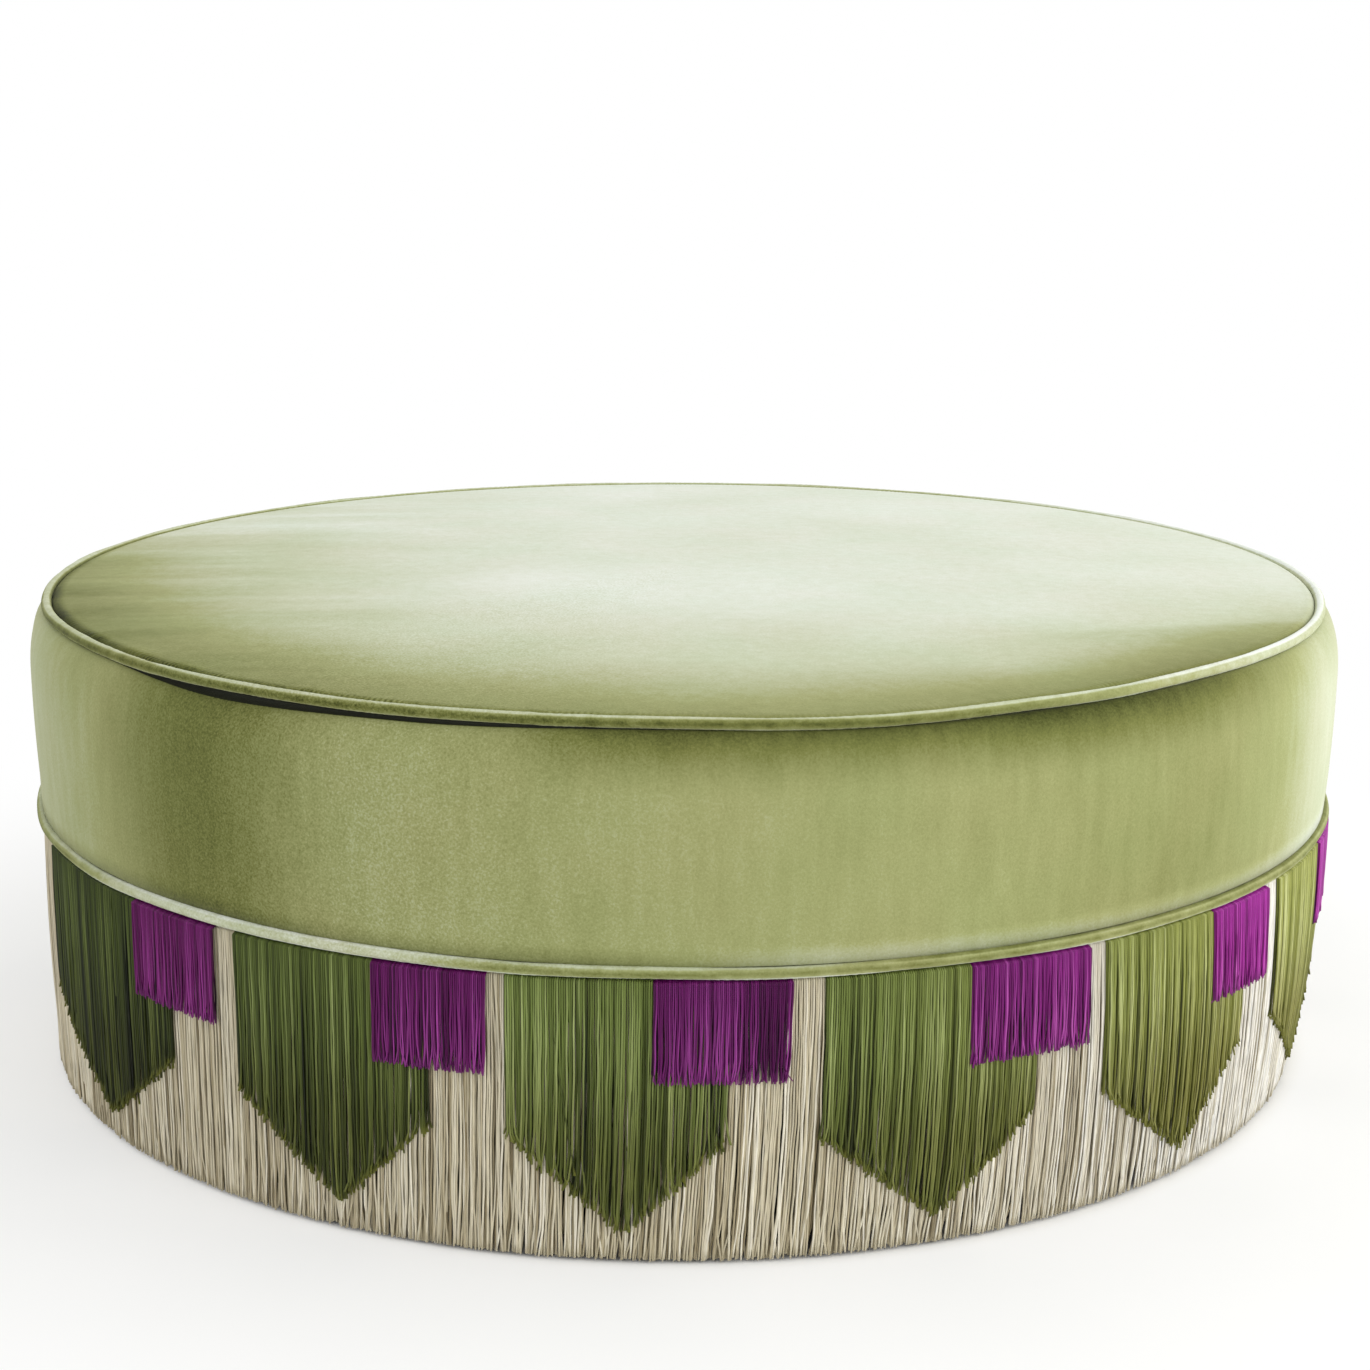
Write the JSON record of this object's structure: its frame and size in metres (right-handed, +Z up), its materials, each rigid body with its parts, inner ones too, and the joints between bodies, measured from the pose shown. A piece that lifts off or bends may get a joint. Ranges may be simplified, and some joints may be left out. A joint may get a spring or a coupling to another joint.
{
  "type": "tuffet",
  "caption": "Low round upholstered seat with a padded velvet band, piped edges and a floor-length layered fringe skirt with pointed panels.",
  "frame": {"origin": "on the floor, under the middle of the seat", "axes": "+Z up along the axis of the round seat; -Y towards the pictured front"},
  "size_m": [1.1, 1.1, 0.395],
  "materials": {
    "velvet": "short-pile cotton velvet with a soft nap",
    "welt_velvet": "velvet stretched over cord",
    "wadding": "polyester wadding",
    "foam": "cut polyurethane foam",
    "cream_yarn": "twisted cotton yarn",
    "green_yarn": "twisted viscose yarn",
    "purple_yarn": "twisted viscose yarn",
    "plywood": "bare birch plywood",
    "softwood": "planed pine",
    "black_cloth": "matt black lining cloth",
    "glide_plastic": "moulded black nylon"
  },
  "bodies": {
    "root": {"top_cover": "velvet", "side_cover": "velvet", "top_piping": "welt_velvet", "lower_piping": "welt_velvet", "top_wadding": "wadding", "seat_foam": "foam", "side_foam": "foam", "cream_fringe": "cream_yarn", "green_fringe": "green_yarn", "purple_fringe": "purple_yarn", "seat_deck": "plywood", "middle_ring": "plywood", "base_ring": "plywood", "side_board": "plywood", "plinth_board": "plywood", "bearer_1": "softwood", "bearer_2": "softwood", "post_1": "softwood", "post_2": "softwood", "post_3": "softwood", "post_4": "softwood", "post_5": "softwood", "post_6": "softwood", "post_7": "softwood", "post_8": "softwood", "plinth_cover": "black_cloth", "dust_cover": "black_cloth", "glide_1": "glide_plastic", "glide_2": "glide_plastic", "glide_3": "glide_plastic", "glide_4": "glide_plastic", "glide_5": "glide_plastic", "glide_6": "glide_plastic", "glide_7": "glide_plastic", "glide_8": "glide_plastic"}
  },
  "joints": []
}
